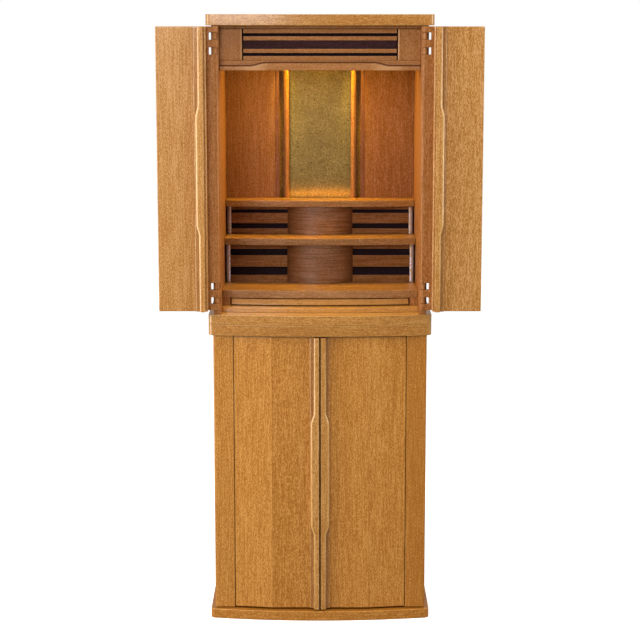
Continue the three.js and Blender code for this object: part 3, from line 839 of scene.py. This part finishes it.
def add_world():
    """A white background, and weaker white walls all around for the object's own light."""
    world = bpy.data.worlds.new("studio")
    world.use_nodes = True
    tree = world.node_tree
    around = tree.nodes["Background"]
    around.inputs["Strength"].default_value = AMBIENT
    behind = tree.nodes.new("ShaderNodeBackground")
    behind.inputs["Strength"].default_value = 1.0
    for background in (around, behind):
        background.inputs["Color"].default_value = (*WHITE, 1.0)
    seen = tree.nodes.new("ShaderNodeLightPath")
    choice = tree.nodes.new("ShaderNodeMixShader")
    tree.links.new(seen.outputs["Is Camera Ray"], choice.inputs[0])
    tree.links.new(around.outputs[0], choice.inputs[1])
    tree.links.new(behind.outputs[0], choice.inputs[2])
    tree.links.new(choice.outputs[0], tree.nodes["World Output"].inputs["Surface"])
    bpy.context.scene.world = world


def light_studio():
    """Plain soft light from before the object, from its sides and from over it."""
    area_lamp("key", (-1.4, -3.9, 2.1), (0.0, 0.0, 0.75), size=(1.6, 1.6), power=80.0)
    area_lamp("left_strip", (-2.6, -0.9, 0.9), (0.0, -0.1, 0.6), size=(1.6, 2.4), power=76.0)
    area_lamp("right_strip", (2.6, -0.9, 1.6), (0.0, -0.1, 1.2), size=(1.2, 2.0), power=45.0)
    area_lamp("top", (0.0, -0.6, 3.6), (0.0, 0.0, 0.0), size=(2.5, 2.5), power=50.0)


def light_altar():
    """Warm light from behind the lintel, and from the upper shelf onto the gold panel's foot."""
    over_shelves = (0.0, GLOW_Y, GLOW_Z)
    area_lamp("shelf_glow", over_shelves, (0.0, 0.0, 0.7), (0.40, 0.03), 0.26, GLOW_COLOUR, spread=36.0)
    over_floor = (0.0, -0.02, GLOW_Z)
    area_lamp("wall_glow", over_floor, (0.0, 0.08, 0.9), (0.40, 0.03), 0.76, GLOW_COLOUR, spread=120.0)
    on_gold = (0.0, 0.147, 1.15)
    area_lamp("gold_glow", over_shelves, on_gold, (0.10, 0.01), 0.19, GOLD_GLOW_COLOUR, spread=90.0)
    on_shelf = (0.0, 0.085, 0.942)
    on_foot = (0.0, 0.143, 0.953)
    area_lamp("foot_glow", on_shelf, on_foot, (0.15, 0.006), 0.0070, FOOT_GLOW_COLOUR, spread=70.0)
    for side in (-1, 1):
        place = (-side * 0.12, -0.05, 1.33)
        target = (side * 0.2215, -0.02, 1.02)
        area_lamp("side_glow", place, target, (0.05, 0.10), 0.6, SIDE_GLOW_COLOUR, spread=90.0)
    for side in (-1, 1):
        place = (side * GLOW_STRIP_X, 0.095, GLOW_Z)
        target = (side * GLOW_STRIP_X, 0.127, 1.18)
        area_lamp("strip_glow", place, target, (0.008, 0.02), 0.075, STRIP_GLOW_COLOUR, spread=30.0)


def add_floor():
    """A plain pale floor that fades into the background."""
    shape = bmesh.new()
    bmesh.ops.create_circle(shape, cap_ends=True, radius=FLOOR_RADIUS, segments=96)
    mesh = bpy.data.meshes.new("studio_floor")
    shape.to_mesh(mesh)
    shape.free()
    floor = bpy.data.objects.new("studio_floor", mesh)
    bpy.context.scene.collection.objects.link(floor)
    floor.location.z = -FLOOR_DROP
    floor.visible_diffuse = False
    floor.visible_glossy = False
    material = bpy.data.materials.new("studio_floor")
    material.use_nodes = True
    surface = material.node_tree.nodes["Principled BSDF"]
    surface.inputs["Base Color"].default_value = (*FLOOR_GREY, 1.0)
    surface.inputs["Roughness"].default_value = 0.9
    surface.inputs["Emission Color"].default_value = (*WHITE, 1.0)
    surface.inputs["Emission Strength"].default_value = FLOOR_GLOW
    mesh.materials.append(material)
    floor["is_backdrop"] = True


def add_camera():
    lens = bpy.data.cameras.new("camera")
    lens.lens = CAMERA_LENS
    lens.sensor_width = CAMERA_SENSOR
    camera = bpy.data.objects.new("camera", lens)
    bpy.context.scene.collection.objects.link(camera)
    camera.location = CAMERA_PLACE
    camera.rotation_euler = (math.radians(90 - CAMERA_PITCH), 0.0, 0.0)
    bpy.context.scene.camera = camera


bpy.context.scene.view_settings.view_transform = "Standard"
add_camera()
add_world()
light_studio()
light_altar()
add_floor()
dress_stand()
dress_altar()
dress_lintel()
dress_floor()
dress_shelves()
dress_wall()

bounds = [[list(map(float, corner)) for corner in box] for box in (cad_box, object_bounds())]
